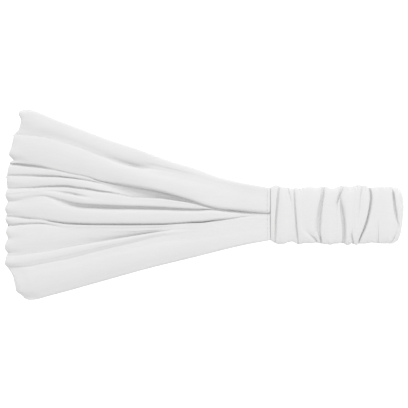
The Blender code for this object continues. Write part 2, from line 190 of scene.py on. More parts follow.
CREASE_POINTS = {
    "A": (
        (-118, 43, -0.5, 0.5, 0.8, -0.8, 0.4), (-98.8, 41.2, -0.4, 0.5, 0.25, -0.7, 0.3),
        (-80.7, 36.4, -0.5, 0.6, 0.1, -0.8, 0.3), (-62.6, 29.7, -0.8, 0.8, 0.3, -1.2, 0.7),
        (-50, 25.1, -1.3, 1.1, 1.1, -1.6, 1.3), (-43, 23.2, -1.4, 1.1, 1.6, -1.4, 1.4),
        (-37.5, 22.2, -0.9, 0.9, 1.1, -0.8, 0.9), (-30, 21.4, 0, 0.5, 0.2, 0, 0.2),
        (-15, 18.6, 0.4, 0.4, 0.1, 0, 0), (5.3, 13.8, 0.4, 0.3), (40.4, 6, 0.4),
    ),
    "B": (
        (-118, 25.3, 0.2, -0.8, 1, 1.2, 0.8), (-106.2, 24, 0.3, -1, 1.6, 1.5, 1),
        (-98.8, 23.1, 0.4, -0.9, 1.1, 1.4, 0.9), (-90, 20.9, 0.2, -0.4, 0.4, 0.7, 1),
        (-80.7, 18.8, 0.2, -0.4, 0.4, 0.7, 1), (-70, 16.6, 0.2, -0.4, 0.4, 0.7, 1),
        (-62.6, 14.2, 0.3, -0.7, 0.8, 1, 1), (-50.6, 12.1, 0.7, -2.3, 0.5, 1.3, 1.5),
        (-44.5, 11, 0.9, -3.5, 0.3, 1.7, 1.6), (-26.5, 7.5, 1.1, -4.2, 0.2, 1.7, 1.5),
        (-15, 4.5, 1, -3.2, 0.1, 1.3, 1.2), (-8.4, 2.5, 0.9, -2.3, 0, 0.9, 0.9),
        (0, -0.5, 0.8, -1.5, 0, 0.7, 0.7), (4.9, -1.9, 0.8, -1.7, 0.3, 0.8, 0.8),
        (9.7, -2.8, 0.8, -2, 0.3, 0.8, 0.8), (18, -3.7, 0.7, -2.2, 0.8, 0.8, 0.8),
        (27.8, -4.8, 0.5, -1.8, 0.7, 0.5, 0.5), (34, -5.3, 0.5, -1.1, 0.8, 0.3, 0.3),
        (40.4, -5.7, 0.5, -0.5, 0.3, 0.2, 0.2),
    ),
    "C": (
        (-118, 17.4, -0.9, -0.1, 0.7, -1, 0.4), (-104, 17.2, -0.8, 0.1, 1, -1, 0.5),
        (-98.8, 16.9, -0.8, 0.2, 1.4, -1, 0.5), (-90, 16.8, -0.8, 0.2, 1.3, -1, 0.5),
        (-80.7, 16, -0.7, 0.2, 1.3, -1.1, 0.5), (-72, 14.9, -0.7, 0, 0.8, -0.6, 0.4),
        (-66, 13.8, -0.7, -0.3, 0.8, -0.4, 0.3), (-60, 12.2, -1.1, -1, 0.2, 0, 0.1),
        (-50.6, 8.6, -2.8), (-44.5, 7.4, -3.8), (-28.1, 5.4, -4.4), (-15, 3.1, -3.4),
        (-8.4, 1.7, -2.4), (0, -0.8, -1.6), (4.9, -2.25, -1.8), (9.7, -3.2, -2), (18, -4.1, -2.2),
        (27.8, -5.1, -1.8), (40.4, -5.8, -0.5),
    ),
    "D": (
        (-118, 9.5, -0.3, -0.4, 0.5, 0.4, 0.5), (-108.4, 10.1, -0.2, -0.5, 0.6, 0.6, 0.8),
        (-101.2, 10.5, -0.1, -0.7, 0.7, 0.8, 1.2), (-96.4, 11.1, 0, -0.9, 0.7, 0.9, 1.8),
        (-90, 11.4, 0.1, -1.2, 0.7, 1, 2.2), (-83.7, 11.6, 0.1, -1.2, 0.9, 1.2, 1.9),
        (-77.7, 10.7, 0.1, -0.5, 1.3, 1.1, 1.3), (-71.6, 10, 0.1, -0.2, 1.5, 1.1, 1.3),
        (-62.6, 8.4, -0.1, 0, 1.6, 1, 1.3), (-56.6, 7.5, -0.7, 0.2, 1.2, 0.6, 1.1),
        (-50.6, 6.3, -2.6, 0.3, 0.5, -0.2, 0.4), (-44.5, 5, -3.7, 0.4, 0, -0.7, 0.3),
        (-26.5, 4, -4.3, 0.5, 0, -0.9, 0.3), (-15, 2.3, -3.3, 0.5, 0, -0.8, 0.3),
        (-8.4, 1.2, -2.4, 0.4, 0, -0.6, 0.2), (0, -1, -1.6, 0.1, 0, -0.3, 0.1),
        (3, -1.95, -1.7, -0.5), (6, -2.6, -1.9, -1.8), (9.7, -3.3, -2), (18, -4.2, -2.2),
        (27.8, -5.2, -1.8), (40.4, -5.85, -0.5),
    ),
    "J": (
        (-118, 5.9, 0, 0, 0.2, 0, 0), (-101.2, 7.8, 0.2), (-92.7, 8.2, -0.2, 0.1, 0.1, 0, 0.2),
        (-86.7, 7.5, -0.6, 0.2, 0.5, -0.3, 0.5), (-82, 6.9, -0.5, 0.3, 1.1, -0.4, 0.7),
        (-77.7, 6.1, -0.2, 0.4, 1.5, -0.4, 0.8), (-74.7, 5.3, 0.1, 0.5, 0.9, -0.2, 0.6),
        (-71, 4.7, 0.4, 0.5, 0.2, 0, 0.2), (-67, 4.4, 0.5), (-62.6, 4.1, 0.5), (-44.5, 2.2, 0.6),
        (-26.5, 1.3, 0.6), (-15, 0.1, 0.5), (-8.4, -0.7, 0.4), (0, -1.8, 0), (3, -2.3, -0.5),
        (6, -2.75, -1.7), (9.7, -3.4, -2), (18, -4.3, -2.2), (27.8, -5.3, -1.8),
        (40.4, -5.9, -0.5),
    ),
    "E": (
        (-118, 1.4, -0.3, -0.3, 0.5, 0, 0.3), (-106, 3.6, -0.1, -0.1, 0.1, 0, 0.3),
        (-96.4, 5.2, -0.1, -0.2, 0.3, 0, 0.8), (-92.7, 4.5, 0, -0.2, 0.6, 0.2, 1.4),
        (-86.7, 2.9, 0, -0.2, 1.4, 0.5, 2), (-80.7, 1.6, 0.1, -0.3, 2.3, 0.9, 2.4),
        (-74.7, 0.6, 0.2, -0.2, 3, 1.1, 2.4), (-68.6, 0.1, 0.3, -0.1, 3.3, 1.2, 2.2),
        (-56.6, -0.5, 0.3, 0, 3.4, 1.3, 2), (-44.5, -0.9, 0.4, 0.1, 3, 1.3, 1.6),
        (-26.5, -1.5, 0.4, 0.2, 2.8, 1.2, 1.3), (-15, -2.2, 0.3, 0.2, 2.5, 0.9, 1),
        (-8.4, -2.6, 0.1, 0.3, 2.3, 0.6, 0.8), (-2.4, -2.75, -0.2, 0.3, 2, 0.3, 0.6),
        (0, -2.7, -0.4, 0.3, 1.6, 0.1, 0.4), (3, -2.75, -0.8, 0.3, 1.2, -0.2, 0.3),
        (6, -2.95, -1.7, 0.3, 0.5, -0.4, 0.2), (9.7, -3.5, -2, 0.3, 0, -0.6, 0.2),
        (18, -4.45, -2.2, 0.3, 0, -0.5, 0.1), (27.8, -5.45, -1.8, 0.4, 0, -0.3, 0.1),
        (40.4, -6, -0.5, 0.4),
    ),
    "F": (
        (-118, -6.6, -0.3, -0.5, 1, 0.4, 0.5), (-106.2, -8.2, -0.2, -0.6, 1.2, 0.6, 0.7),
        (-98.8, -9, -0.1, -0.5, 0.6, 0.5, 1.2), (-90, -10.2, 0, -0.5, 1.5, 1, 1.4),
        (-80.7, -11.2, 0.1, -0.5, 2.1, 1.3, 1.8), (-62.6, -11.7, 0.3, -0.4, 2, 1.2, 2),
        (-44.5, -11.7, 0.4, -0.4, 2.3, 1.3, 2), (-26.5, -11.6, 0.4, -0.3, 1.9, 1.1, 2.1),
        (-15, -11.2, 0.3, 0, 1.7, 0.8, 2.4), (-8.4, -10.7, 0.3, 0.4, 2.6, 0.8, 2.3),
        (0, -10.4, 0.3, 0.4, 3.8, 0.9, 1.7), (4.9, -9.8, 0.3, 0.4, 2.8, 0.7, 1.1),
        (9.7, -9.3, 0.3, 0.4, 2, 0.5, 0.8), (16.5, -8.5, 0.3, 0.4, 1.1, 0.2, 0.6),
        (24, -7.3, 0.3, 0.4, 0.5, 0, 0.2), (30, -6.8, 0.4), (40.4, -6.3, 0.4),
    ),
    "G": (
        (-118, -13, -0.4, -0.2, 0.9, -0.6, 0.4), (-109.5, -11.9, -0.5, -0.2, 1, -0.7, 0.5),
        (-98.8, -11.4, -0.6, -0.3, 1, -0.6, 0.4), (-90, -12.8, -0.5, -0.4, 0.3, 0, 0.1),
        (-80.7, -14.6, -0.5), (-44.5, -15, -0.7), (-26.5, -14.4, -0.7), (-19, -13.7, 0),
        (-13, -13.4, 0.4), (-8.4, -13.2, 0.4), (9.7, -11.3, 0.4), (24, -9.4, 0.5),
        (40.4, -7.7, 0.4),
    ),
    "H": (
        (-118, -31.2, -0.3, 0.2, 0.4, -0.4, 0.3), (-98.8, -28.6, -0.5, 0.3, 0.2, -0.7, 0.4),
        (-80.7, -25.1, -1, 0.5, 0.2, -1, 0.5), (-62.6, -22, -1.6, 0.7, 0.4, -1.3, 0.7),
        (-44.5, -19, -2, 0.8, 0.5, -1.5, 0.7), (-33.7, -17.2, -1.8, 0.8, 0.4, -1.3, 0.7),
        (-28, -16.3, -1.2, 0.7, 0.3, -1, 0.5), (-22, -15.6, -0.4, 0.5, 0.1, -0.5, 0.2),
        (-17, -15, 0.2, 0.4), (-8.4, -14.6, 0.4), (9.7, -12.9, 0.45), (24, -11.2, 0.5),
        (40.4, -9.6, 0.4),
    ),
    "I": (
        (-118, -38, 0, 0, 0.7, 0, 0.2), (-106.2, -37.4, 0.1, 0.1, 0.6, 0, 0),
        (-98.8, -35.9, 0.1, 0.1, 0.5, 0, 0), (-80.7, -32.4, 0.1, 0.1, 0.45, 0, 0),
        (-62.6, -27.6, 0.3, 0.2, 0.35, 0, 0), (-44.5, -23.4, 0.4, 0.3, 0.3, 0, 0),
        (-26.5, -19.2, 0.4, 0.35, 0.15, 0, 0), (-10, -17.4, 0.4), (9.7, -15.6, 0.5),
        (40.4, -11.4, 0.5),
    ),
}


def full_row(row):
    """A crease's row with what it leaves out: its second level, and a groove of nothing."""
    if len(row) == 3:
        row = (*row, row[2])
    return (*row, *[0] * (7 - len(row)))


CREASES = {name: [full_row(row) for row in rows] for name, rows in CREASE_POINTS.items()}
SHOULDER = {
    "A": 1.1, "B": 0.7, "C": 0.45, "D": 0.55, "E": 0.6, "F": 0.55, "G": 0.4, "H": 0.9, "I": 1.5,
    "J": 0.8,
}

# The front fold's outline, (y, x): bulges of the pleats and the notches between them.
FRONT_OUTLINE = (
    (-57.4, -106.5), (-56.4, -109.3), (-54.6, -111.8), (-52, -113.4), (-48.6, -114),
    (-42.5, -115.5), (-38.8, -117.8), (-35.3, -120.4), (-29.1, -118.2), (-25.6, -120.4),
    (-20.2, -117.8), (-16.3, -119.7), (-12.6, -117.7), (-8.8, -120), (-5.6, -118.8),
    (-2.6, -120.2), (1.7, -118), (6, -120), (9.6, -118.6), (14.3, -119.1), (23.4, -117.8),
    (26.6, -114.2), (30.2, -118), (34.8, -116.4), (42.4, -114.5), (45.7, -111.8),
    (51.1, -110.6), (55.5, -112.2), (57.2, -110.2),
)
PUFF = 0.035  # how far a pleat bulges, as a share of its width


def edge_lift(x):
    """How much higher the top edge's own roll is than the pleat's foot at crease A."""
    return 0.8 * ease(10, -35, x)


def crease_at(name, x):
    """(y, level above, level below, depth, lap, gap) of a crease at drawn X."""
    return [flow(CREASES[name], x, column) for column in range(1, 7)]


def crown_level(x, y):
    """Height of a level of 0 on the upper layer: highest along the middle, low at the edges."""
    upper, lower = flow(UPPER_EDGE, x), flow(LOWER_EDGE, x)
    to_edge = np.minimum(upper - y, y - lower)
    drop = mix(0.7, 1.3, ease(-5, 5, y))
    droop = drop * np.exp(-np.clip(to_edge, 0, None) / 6.0) * ease(40, 5, x)
    swell = 0.28 * ripple(x, y * 1.6, 3, 55.0) * ease(38, 0, x)
    return HEIGHT - 1.9 + 0.9 * ease(-60, 40, x) - droop + swell


def crease_rails(name, x, room_above, room_below):
    """The eight rails of a crease at drawn X: lists of y and level, upper side first.

    The crease's own line is the lip of the pleat that lies over, and the open gap is beyond it.
    """
    y, above, below, depth, lap, gap = crease_at(name, x)
    radius = SHOULDER[name]
    up = np.minimum(1, room_above / (2.6 * radius + gap))
    down = np.minimum(1, room_below / (2.6 * radius + gap))
    over = np.clip(lap, 0, room_above * 1.5)
    under = np.clip(-lap, 0, room_below * 1.5)
    flap = np.clip(over + under, 0, 1)  # how far this is a lap and not a plain groove
    floor = np.minimum(above, below) - depth
    lip_offsets = (2.6, 1.0, 0.1, 0.25, 0.4)  # in shoulder radii, back from the lip
    tucks = (0.0, 0.0, 0.0, 0.35, 1.0)  # in laps
    lip_drops = (0.0, 0.12, 0.4, 0.8, 1.0)
    foot_offsets = (0.5, 1.0, 1.0)  # in gaps, on from the lip
    foot_radii = (0.0, 0.0, 1.1)
    foot_drops = (1.0, 0.85, 0.02)
    half = ((2.5, 0.0), (1.1, 0.3), (0.35, 0.8), (0.05, 1.0))  # plain groove: radii, depths
    plain = (*half, *((-offset, share) for offset, share in half[::-1]))
    ys, levels = [], []
    for index in range(8):
        groove_y = y + plain[index][0] * radius * (up if index < 4 else down)
        groove_y = groove_y + (0.5 * gap if index < 4 else -0.5 * gap) * (up if index < 4 else down)
        start = above if index < 4 else below
        groove_z = start + (floor - start) * plain[index][1]
        laid = []
        for direction, amount, near, far, this, other, place in (
            (1, over, up, down, above, below, index), (-1, under, down, up, below, above, 7 - index),
        ):
            if place < 5:
                offset = lip_offsets[place] * radius * near + tucks[place] * amount
                laid_z = this + (floor - this) * lip_drops[place]
            else:
                offset = -(foot_offsets[place - 5] * gap + foot_radii[place - 5] * radius) * far
                laid_z = other + (floor - other) * foot_drops[place - 5]
            laid.append((y + direction * offset, laid_z))
        chosen_y = np.where(over >= under, laid[0][0], laid[1][0])
        chosen_z = np.where(over >= under, laid[0][1], laid[1][1])
        ys.append(mix(groove_y, chosen_y, flap))
        levels.append(mix(groove_z, chosen_z, flap))
    return ys, levels


def edge_rails(edge_y, inward, level, reach, x):
    """Rails from the hidden allowance, under the layer and round its edge, on to its top."""
    offsets = (3.0, 2.95, 2.6, 1.3, 0.15, -0.12, -0.05, 0.9, 2.6)
    drops = (-1.4, -2.5, -2.95, -3.1, -2.95, -1.9, -0.6, -0.05, 0.0)
    scale = np.minimum(1, reach / 3.2)
    thin = 1 - 0.55 * ease(26, 36, x)
    ys = [edge_y + inward * offset * scale for offset in offsets]
    return ys, [level + drop * thin for drop in drops]


EDGE_RAILS = 9
FLUSH_RAIL = 2             # the rail of the face that the lining lies level with


def panel_rails(x_of):
    """All rails across the panel, lower edge first, as (x, y, level) at each station.

    x_of(y) gives drawn X for the whole rail whose front end is at that y.
    """
    names = "IHGFEJDCBA"
    rails = []
    front_y = [-57.0, *(float(crease_at(name, np.array(-117.0))[0]) for name in names), 57.0]

    def lines_at(x):
        """Each crease's values, and the Y of the lower edge, every crease and the upper edge."""
        found = [crease_at(name, x) for name in names]
        return found, [flow(LOWER_EDGE, x), *(values[0] for values in found), flow(UPPER_EDGE, x)]

    def add_edge(side, index):
        x = x_of(side * HALF_WIDTH)
        found, lines = lines_at(x)
        if side < 0:
            level, edge_y, reach = found[0][2], lines[0], lines[1] - lines[0]
        else:
            level, edge_y, reach = found[-1][1] + edge_lift(x), lines[-1], lines[-1] - lines[-2]
        ys, levels = edge_rails(edge_y, -side, level, reach / 2, x)
        rails.append((x, ys[index], levels[index]))

    def add_crease(place, index):
        x = x_of(front_y[place] + (3.5 - index) * 0.25)
        _, lines = lines_at(x)
        above = np.minimum(4.2, 0.29 * (lines[place + 1] - lines[place]))
        below = np.minimum(4.2, 0.29 * (lines[place] - lines[place - 1]))
        ys, levels = crease_rails(names[place - 1], x, above, below)
        rails.append((x, ys[index], levels[index]))

    def add_crown(place, share):
        """A rail on the pleat between two creases, or a crease and an edge."""
        x = x_of(mix(front_y[place], front_y[place + 1], 0.15 + 0.7 * share))
        found, lines = lines_at(x)
        low, high = lines[place], lines[place + 1]
        width = high - low
        low_level = found[place - 1][1] if place else found[0][2]
        high_level = found[place][2] if place < len(names) else found[-1][1] + edge_lift(x)
        margin = np.minimum(width * 0.31, 4.4)
        y = mix(low + margin, high - margin, share)
        t = (y - low) / width
        puff = np.minimum(0.6, PUFF * width) * (4 * t * (1 - t)) ** 1.2
        puff = puff * mix(0.25, 1.0, ease(8, -25, x))  # the pleats flatten towards the join
        rails.append((x, y, mix(low_level, high_level, t) + puff))

    for index in range(EDGE_RAILS):
        add_edge(-1, index)
    for place in range(len(names) + 1):
        for share in (0.1, 0.5, 0.9):
            add_crown(place, share)
        if place < len(names):
            for index in range(7, -1, -1):
                add_crease(place + 1, index)
    for index in range(EDGE_RAILS - 1, -1, -1):
        add_edge(1, index)
    return rails


# ---- the panel's cloth


def front_outline(y):
    """X of the front fold's outline: round bulges between sharp notches, smooth at the corners."""
    smooth = flow(FRONT_OUTLINE, y)
    table = np.array(FRONT_OUTLINE)
    i = np.clip(np.searchsorted(table[:, 0], y, side="right") - 1, 0, len(table) - 2)
    t = np.clip((y - table[i, 0]) / (table[i + 1, 0] - table[i, 0]), 0, 1)
    first, second = table[i, 1], table[i + 1, 1]
    from_notch = np.where(first > second, t, 1 - t)
    notch, bulge = np.maximum(first, second), np.minimum(first, second)
    round_ = notch + (bulge - notch) * np.sqrt(1 - (1 - from_notch) ** 2)
    return mix(smooth, round_, 0.6 * ease(-35, -31, y) * ease(30, 26, y))


def edge_mask(count):
    mask = np.zeros(count, bool)
    mask[:EDGE_RAILS] = mask[-EDGE_RAILS:] = True
    return mask


def turned(layer, even, turn, allowance_z):
    """Rows from a layer's end at the join, turned back into the seam allowance."""
    x, y, z = (part[0] for part in layer)
    return [(x + dx, mix(y, even, share), mix(z, allowance_z, share)) for dx, share in turn]


def round_end(near, far, tip, steps, out_power, up_power):
    """Rows round a fold's end, from the near layer's last row to the far layer's."""
    near_x, near_y, near_z = (part[-1] for part in near)
    _, far_y, far_z = (part[-1] for part in far)
    rows = []
    for angle in np.radians(np.linspace(0, 180, steps)[1:-1]):
        out, up = math.sin(angle) ** out_power, math.cos(angle)
        up = math.copysign(abs(up) ** up_power, up)
        y, middle = mix(near_y, far_y, (1 - up) / 2), (near_z + far_z) / 2
        rows.append((near_x + (tip - near_x) * out, y, middle + up * (near_z - far_z) / 2))
    return rows


def folded_rows(near, far, even, turn, allowance_z, end):
    """All of a ply's rows: near allowance, near layer, the fold's end, far layer, far allowance."""
    rows = turned(near, even, turn, allowance_z)[::-1]
    rows += list(zip(*near))
    rows += end
    rows += list(zip(*far))[::-1]
    rows += turned(far, even, turn, 2 * MIDDLE - allowance_z)
    return rows


def panel_surface():
    """The face ply's rows from its upper raw end, round the front fold, to its lower raw end.

    Also the height of its underside at both edges, near and far, for the lining to meet.
    """
    near = 1 - (1 - np.linspace(0, 1, 96)) ** 1.15  # closer together near the join
    far = np.linspace(0, 1, 34)

    def reaching(shares):
        def x_of(front):
            end = front_outline(np.array(front)) + ROLL
            return TURN_X + (end - TURN_X) * shares
        return x_of

    def stack(rails):
        return [np.array([rail[k] for rail in rails]).T for k in range(3)]  # station, rail

    near_x, near_y, near_level = stack(panel_rails(reaching(near)))
    far_x, far_y, far_level = stack(panel_rails(reaching(far)))
    near_z = crown_level(near_x, near_y) + near_level
    crest = far_level.max(axis=1, keepdims=True)
    far_z = np.clip(0.42 * (crest - far_level), 0, 2.4) + 0.05
    hems = edge_mask(far_z.shape[1])
    top_of_hem = np.where(np.arange(far_z.shape[1]) < EDGE_RAILS, EDGE_RAILS - 1, -EDGE_RAILS)
    far_z[:, hems] = (far_level[:, top_of_hem] - far_level)[:, hems] * 0.85 + 0.3

    turn = (
        (0.36, 0.03), (0.66, 0.12), (0.82, 0.3), (0.88, 0.52), (0.8, 0.75), (0.4, 0.92),
        (-0.6, 0.99), (-2.4, 1.0), (-4.6, 1.0), (ALLOWANCE_END - TURN_X, 1.0),
    )
    even = mix(flow(LOWER_EDGE, TURN_X) + 0.9, flow(UPPER_EDGE, TURN_X) - 0.9,
               np.linspace(0, 1, near_x.shape[1]))

    depth = np.clip(crown_level(near_x[-1], near_y[-1]) + 0.4 - near_z[-1], 0, 2.5)
    tip = front_outline(near_y[-1]) + 0.5 * depth
    inner = np.linspace(0.9, 0, EDGE_RAILS)
    tip[:EDGE_RAILS] = np.maximum(tip[:EDGE_RAILS], near_x[-1, :EDGE_RAILS] - ROLL * (1 - inner))
    tip[-EDGE_RAILS:] = np.maximum(
        tip[-EDGE_RAILS:], near_x[-1, -EDGE_RAILS:] - ROLL * (1 - inner[::-1])
    )
    near_layer, far_layer = (near_x, near_y, near_z), (far_x, far_y, far_z)
    end = round_end(near_layer, far_layer, tip, 25, 0.62, 0.72)
    rows = folded_rows(near_layer, far_layer, even, turn, FACE_ALLOWANCE_Z, end)
    hem = {}
    for side, rail in (("low", FLUSH_RAIL), ("high", -1 - FLUSH_RAIL)):
        hem["near", side] = list(zip(near_x[:, rail], near_y[:, rail], near_z[:, rail]))
        hem["far", side] = list(zip(far_x[:, rail], far_y[:, rail], far_z[:, rail]))
    return np.array(rows), hem  # row, xyz, rail


def with_front_outline(dense):
    """The face's points with the front fold's bulges and notches, which fade out inwards."""
    out = dense.copy()
    tip_row = np.argmin(dense[:, :, 0], axis=0)
    columns = np.arange(dense.shape[1])
    tip = dense[tip_row, columns]
    low, high = dense[..., 1].min(), dense[..., 1].max()
    inside = ease(low, low + 1.2, tip[:, 1]) * ease(high, high - 1.2, tip[:, 1])
    target = front_outline(tip[:, 1])
    shift = np.clip(target - tip[:, 0], -1.5, 2.5) * inside
    hull = np.array([front_outline(y + np.linspace(-5, 5, 21)).min() for y in tip[:, 1]])
    pinch = np.clip(target - hull, 0, 3) * inside
    away = dense[..., 0] - tip[None, :, 0]
    out[..., 0] += shift * ease(9, 0, away)
    above = dense[..., 2] > MIDDLE
    out[..., 2] -= np.where(above, 0.3, -0.1) * pinch * ease(11, 2, away) * ease(0, 2, away)
    return out


def lining_surface(hem):
    """The lining's rows from its upper raw end, round the inside of the fold, to its lower one.

    Its right side looks into the loop, and at both long edges it turns up into the band.
    """
    hem_tuck, hem_inset = (1.7, 1.0, 0.4), (0.0, 0.02, 0.15)
    columns = 41
    across = np.concatenate([[0, 0, 0], np.linspace(0, 1, columns), [1, 1, 1]])
    tuck = np.concatenate([hem_tuck, np.zeros(columns), hem_tuck[::-1]])
    inset = np.concatenate([hem_inset, np.full(columns, 0.5), hem_inset[::-1]])
    side = np.where(np.arange(len(across)) < len(across) // 2, 1.0, -1.0)
    stations = 1 - (1 - np.linspace(0, 1, 60)) ** 1.1
    start = TURN_X - 0.8
    tips = np.array([
        max(front_outline(np.array(y + d)) for d in (-3.0, -1.5, 0.0, 1.5, 3.0))
        for y in mix(-53.0, 53.0, across)
    ]) + 2.4
    layers = []
    for layer, middle_z, join_z, seed in (
        ("near", 5.75, LINING_JOIN_Z, 11), ("far", 3.55, 2 * MIDDLE - LINING_JOIN_Z, 12),
    ):
        rows = []
        for share in stations:
            x = start + (tips + 3.4 - start) * share
            low, high = flow(hem[layer, "low"], x), flow(hem[layer, "high"], x)
            low_z, high_z = flow(hem[layer, "low"], x, 2), flow(hem[layer, "high"], x, 2)
            y = mix(low, high, across) + side * (inset + 0.25)
            arch = 1 - (2 * np.clip(across, 0, 1) - 1) ** 4
            sag = 0.25 * ripple(x, y, seed, 38.0) * arch
            pull = tuck * mix(1, 0.25, ease(20, 33, x))
            hollow = groove = 0.0
            if layer == "near":  # room for the valley and for crease B
                hollow = 0.9 * ease(-62, -45, x) * ease(8, -6, x) * np.exp(-(((y - 5) / 9) ** 2))
                groove = 0.45 * np.exp(-(((y - crease_at("B", x)[0]) / 1.6) ** 2)) * ease(30, 36, x)
            z = mix(mix(low_z, high_z, across), middle_z - hollow, arch) + sag
            z = mix(z, join_z, ease(29, 36, x)) - groove
            rows.append((x, y, z + (pull if layer == "near" else -pull)))
        layers.append(np.array(rows).transpose(1, 0, 2))
    near, far = layers
    even = mix(near[1][0].min() + 0.9, near[1][0].max() - 0.9, np.linspace(0, 1, len(across)))
    turn = ((0.3, 0.06), (0.5, 0.3), (0.52, 0.55), (0.35, 0.85), (-0.2, 1.0), (-2.6, 1.0),
            (ALLOWANCE_END - start, 1.0))
    end = round_end(near, far, tips, 13, 0.8, 1.0)
    return np.array(folded_rows(near, far, even, turn, LINING_ALLOWANCE_Z, end))


# ---- the casing as drawn
#
# Its outlines seen from above: (x, y) along its edges, and (y, x) round the back fold. A crease is
# its points as (y, x, depth, gap), how far the pleat on the right laps over, and its lip's radius.
# A point without a depth and a gap has no groove.

CASING_TOP = (
    (33, 9), (39, 9.9), (43.2, 11.9), (48.5, 10.6), (50.5, 10.7), (53, 9.3), (55, 10.2),
    (58, 9.7), (62.5, 11), (67.5, 10.2), (72.5, 11.4), (77, 9.5), (83, 11.6), (87, 11),
    (95, 12), (101.5, 10.3), (106.5, 11.1), (111, 10.6), (113.6, 11), (117.5, 10.8), (121, 10.4),
)
CASING_BOTTOM = (
    (33, -20.6), (39, -20.9), (44, -23.7), (48.5, -23.4), (53, -22.2), (57.5, -24), (61, -22.9),
    (65, -23.4), (67.5, -23.1), (76.5, -24.1), (82, -23.2), (87, -24.4), (89, -23.4), (92, -24.3),
    (95.5, -23), (98.5, -23.5), (100, -22.5), (104, -23.4), (113, -23.3), (121, -23),
)
BACK_FOLD = (
    (-24.0, 114.8), (-22.7, 116.3), (-20.8, 117.9), (-16.2, 119.1), (-8.0, 120.1),
    (-1.0, 120.6), (2.5, 120.5), (4.9, 120.3), (6.8, 119.8), (8.6, 119.0), (10.0, 117.6),
)
CASING_CREASES = (
    (((11, 45.2, 0.9, 0.3), (9, 44.8, 1.3, 0.4), (-1.8, 43.6, 1.9, 0.5), (-10.3, 42.9, 1.8, 0.5),
      (-23, 42.6, 1.1, 0.3)), -0.2, 0.45),
    (((11, 50.4, 0.9, 0.4), (8.7, 50.9, 1, 0.5), (3.9, 52, 0.6, 0.4), (-3, 52.6), (-24, 53.4)), 0, 0.8),
    (((11, 53.9, 0.9, 0.3), (8.7, 54.2, 1, 0.4), (1.1, 54.6, 1.3, 0.6), (-7.5, 55.3, 1.5, 0.9),
      (-13.2, 55.7, 1.6, 1), (-23, 56.8, 1.3, 0.9)), 0.6, 0.55),
    (((11, 58.5), (-14, 60.4), (-16.6, 62.6, 0.15, 0.6), (-18.4, 64.8, 0.6, 1),
      (-20.2, 66.8, 1.3, 1), (-22.7, 68, 1.6, 0.8), (-24, 68.2, 1, 0.4)), 0.3, 0.5),
    (((11, 72.2, 1.2, 0.5), (8.7, 72, 1.4, 0.8), (5, 71.8, 2.1, 0.9), (1.1, 71.2, 2.3, 1.2),
      (-4.6, 70.4, 2.6, 1.4), (-10.3, 69.9, 2.6, 1.5), (-16, 69.6, 2.6, 1.4), (-19, 70, 2.6, 1.1),
      (-23, 70.6, 2.6, 0.8)), 1, 0.6),
    (((11, 84.4, 1.2, 1.2), (7.3, 83, 1.6, 1), (3.9, 81.6, 1.9, 0.8), (1.1, 80.4, 1.4, 0.5),
      (-1.8, 79.6, 0.4, 0.1), (-6, 79.2), (-24, 78.8)), 0.5, 0.5),
    (((11, 86.4), (5, 83.2), (2.6, 82, 0.8, 0.3), (-3.5, 82.4, 2.4, 1), (-8.6, 83.1, 2.6, 1.6),
      (-13.2, 83.6, 2.6, 1.8), (-17.7, 83.8, 2.6, 1.5), (-24, 83.4, 2.6, 1.1)), -0.8, 0.6),
    (((11, 91.5), (-14, 89.2), (-16.8, 89, 0.6, 0.3), (-18.8, 89.1, 1.3, 0.5),
      (-21.5, 89.7, 1.7, 0.5), (-24, 90.4, 1.4, 0.4)), 0.3, 0.4),
    (((11, 95.4, 1, 0.6), (8, 94.9, 0.9, 0.6), (3.9, 94.1, 0.7, 0.5), (-4.6, 93.2, 0.5, 0.4),
      (-9, 92.6, 0.2, 0.1), (-13, 92.2), (-24, 91.8)), 0, 1),
    (((11, 98.9, 2, 0.4), (9.6, 99.4, 2.2, 0.6), (3.9, 100.1, 2.6, 0.6), (-1.8, 99.5, 2.6, 0.6),
      (-9.2, 97.9, 2.6, 0.6), (-15.4, 95.8, 2.6, 0.7), (-20, 93.7, 2.6, 0.6),
      (-23.4, 92.2, 2.4, 0.5)), -0.7, 0.3),
    (((11, 106, 0.4, 0.3), (6, 105.8), (-10, 104.8), (-14.5, 104.7, 0.6, 0.6),
      (-19, 104.8, 1, 0.7), (-22.8, 104.8, 1.3, 0.6), (-24, 104.6, 1.2, 0.4)), 0, 0.7),
    (((11, 112.9), (9, 113.5, 0.1, 0.1), (7.6, 113.9, 1, 0.3), (6.4, 114.1, 2.3, 0.4),
      (2.9, 114.7, 2.6, 0.5), (-1.6, 115.4, 2.6, 0.5), (-6.6, 116.4, 2.6, 0.5),
      (-9.6, 116.8, 1.9, 0.4), (-11.6, 117, 0.2, 0.1), (-24, 118)), 0.3, 0.28),
)
# Small puckers along the tube's edges: (x, 1 for the top edge or -1 for the bottom, length, depth).
PUCKERS = (
    (57.4, 1, 3.5, 0.7), (88.0, 1, 4.0, 0.8), (82.4, 1, 3.0, 0.7), (98.2, -1, 3.0, 0.5),
    (47.4, 1, 3.0, 0.5), (59.2, 1, 4.5, 0.5), (61.6, 1, 2.5, 0.4), (66.8, 1, 3.0, 0.4),
    (75.4, 1, 3.5, 0.7), (78.2, 1, 2.5, 0.5), (80.2, 1, 3.0, 0.6), (86.2, 1, 3.5, 0.6),
    (89.0, 1, 4.0, 0.5), (91.9, 1, 3.0, 0.6), (96.6, 1, 5.0, 0.7), (104.3, 1, 3.5, 0.5),
    (108.8, 1, 3.0, 0.5), (45.8, -1, 2.5, 0.4), (50.4, -1, 3.0, 0.4), (59.0, -1, 3.5, 0.6),
    (63.2, -1, 4.0, 0.5), (74.6, -1, 3.0, 0.6), (78.6, -1, 2.5, 0.4), (87.0, -1, 3.5, 0.5),
    (100.8, -1, 3.0, 0.25), (110.2, -1, 4.5, 0.5), (107.6, -1, 2.5, 0.4),
)


